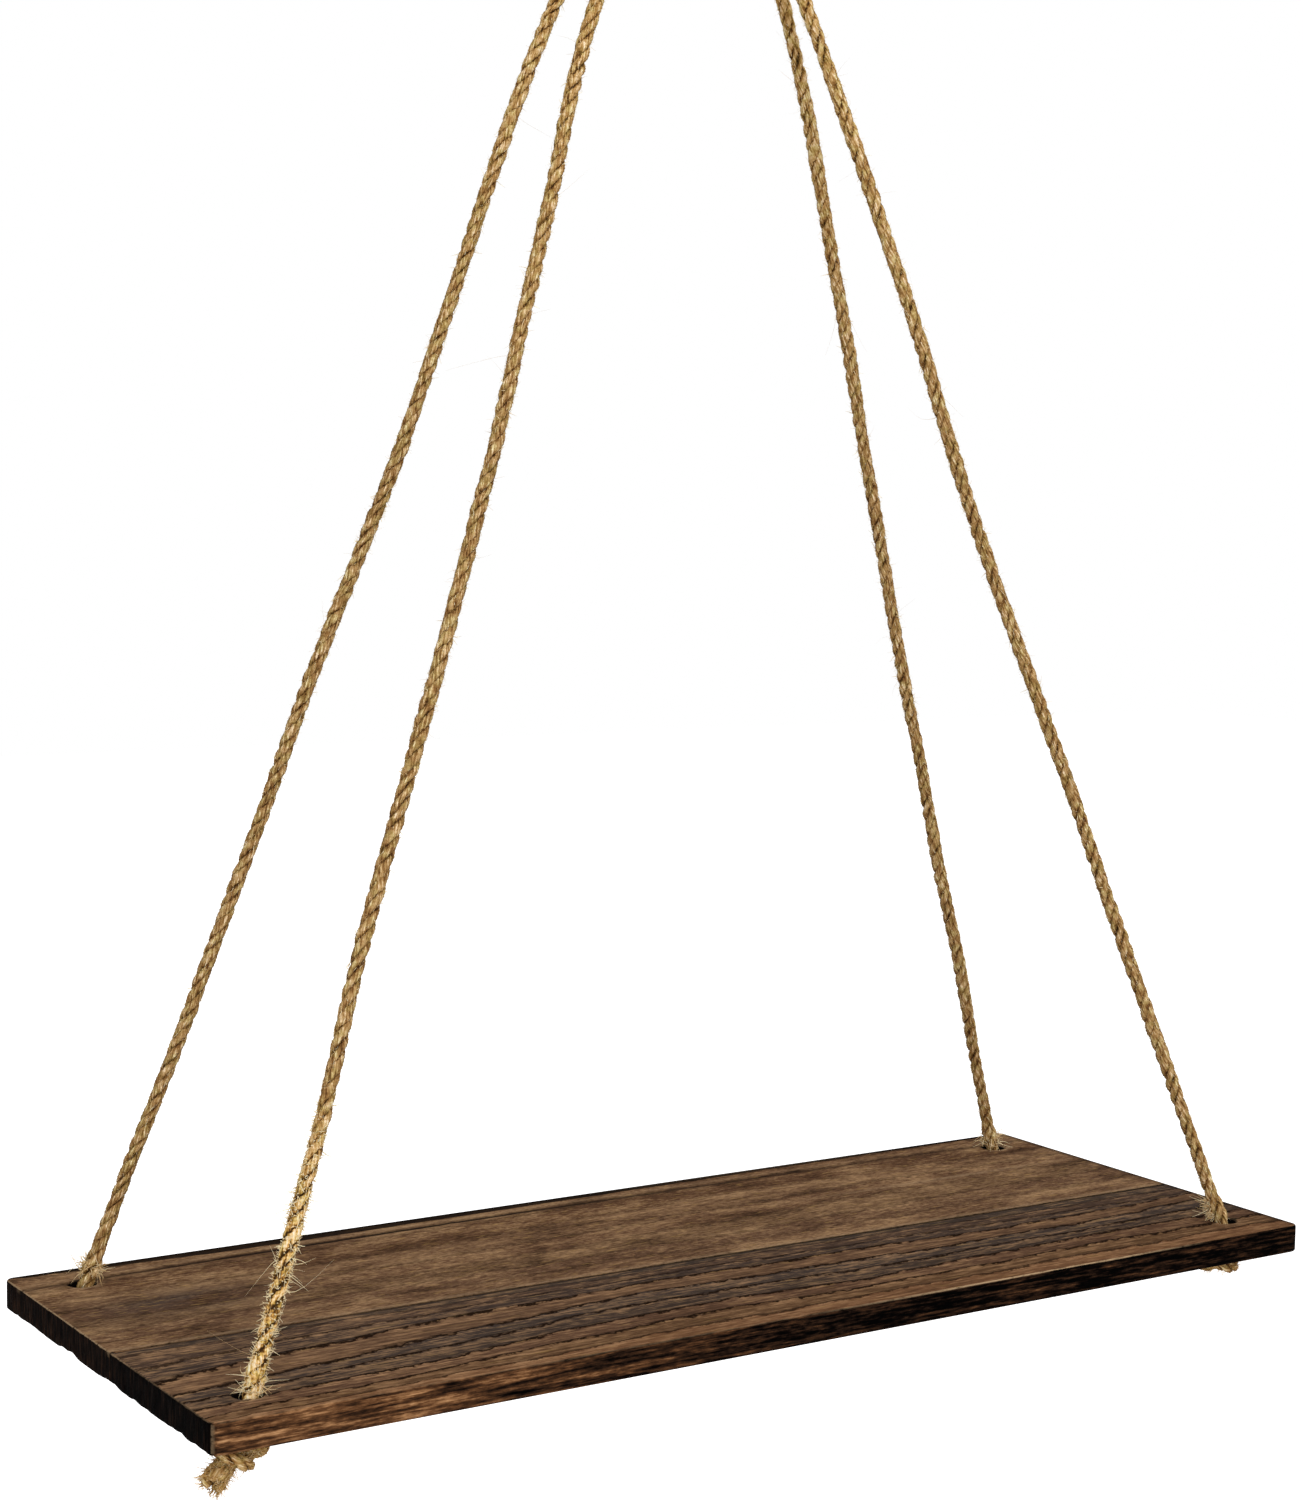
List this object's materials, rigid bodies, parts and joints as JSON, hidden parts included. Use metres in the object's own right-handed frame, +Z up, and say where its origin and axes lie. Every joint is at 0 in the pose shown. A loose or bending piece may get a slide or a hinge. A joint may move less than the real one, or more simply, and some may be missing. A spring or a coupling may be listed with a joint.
{
  "type": "hanging rope shelf",
  "caption": "Wooden shelf board hung from a ceiling hook by ropes through its corners, with stopper knots beneath and a gathering knot above.",
  "frame": {"origin": "on the ceiling plane, in the middle of the hook's collar, where its screw goes in", "axes": "+Z up, +X along the board to the right, -Y to the front; the shelf hangs below the origin"},
  "size_m": [0.43, 0.168, 0.7201],
  "materials": {
    "steel_hook": "zinc-plated, satin",
    "jute_rope": "three-strand twisted jute, hairy, matt",
    "dark_stave": "torched and brushed softwood, matt",
    "light_stave": "torched and brushed softwood, matt"
  },
  "bodies": {
    "hook": {"ceiling_hook": "steel_hook"},
    "loops": {"left_rope_bight": "jute_rope", "right_rope_bight": "jute_rope"},
    "knot": {"left_rope_front_knot_strand": "jute_rope", "left_rope_rear_knot_strand": "jute_rope", "right_rope_front_knot_strand": "jute_rope", "right_rope_rear_knot_strand": "jute_rope"},
    "shelf": {"left_rope_front_leg": "jute_rope", "left_rope_rear_leg": "jute_rope", "right_rope_front_leg": "jute_rope", "right_rope_rear_leg": "jute_rope", "left_rope_front_stopper_knot": "jute_rope", "left_rope_rear_stopper_knot": "jute_rope", "right_rope_front_stopper_knot": "jute_rope", "right_rope_rear_stopper_knot": "jute_rope", "board_front_stave": "dark_stave", "board_rear_stave": "light_stave"}
  },
  "joints": [
    {"name": "front_back_swing", "type": "hinge", "parent": "hook", "child": "loops", "pos_m": [0, 0, -0.04725], "axis": [1, 0, 0], "range_deg": [-30, 30]},
    {"name": "rope_twist", "type": "hinge", "parent": "loops", "child": "knot", "pos_m": [0, 0, -0.07325], "axis": [0, 0, 1], "range_deg": [-90, 90]},
    {"name": "sideways_swing", "type": "hinge", "parent": "knot", "child": "shelf", "pos_m": [0, 0, -0.11473], "axis": [0, 1, 0], "range_deg": [-20, 20]}
  ]
}
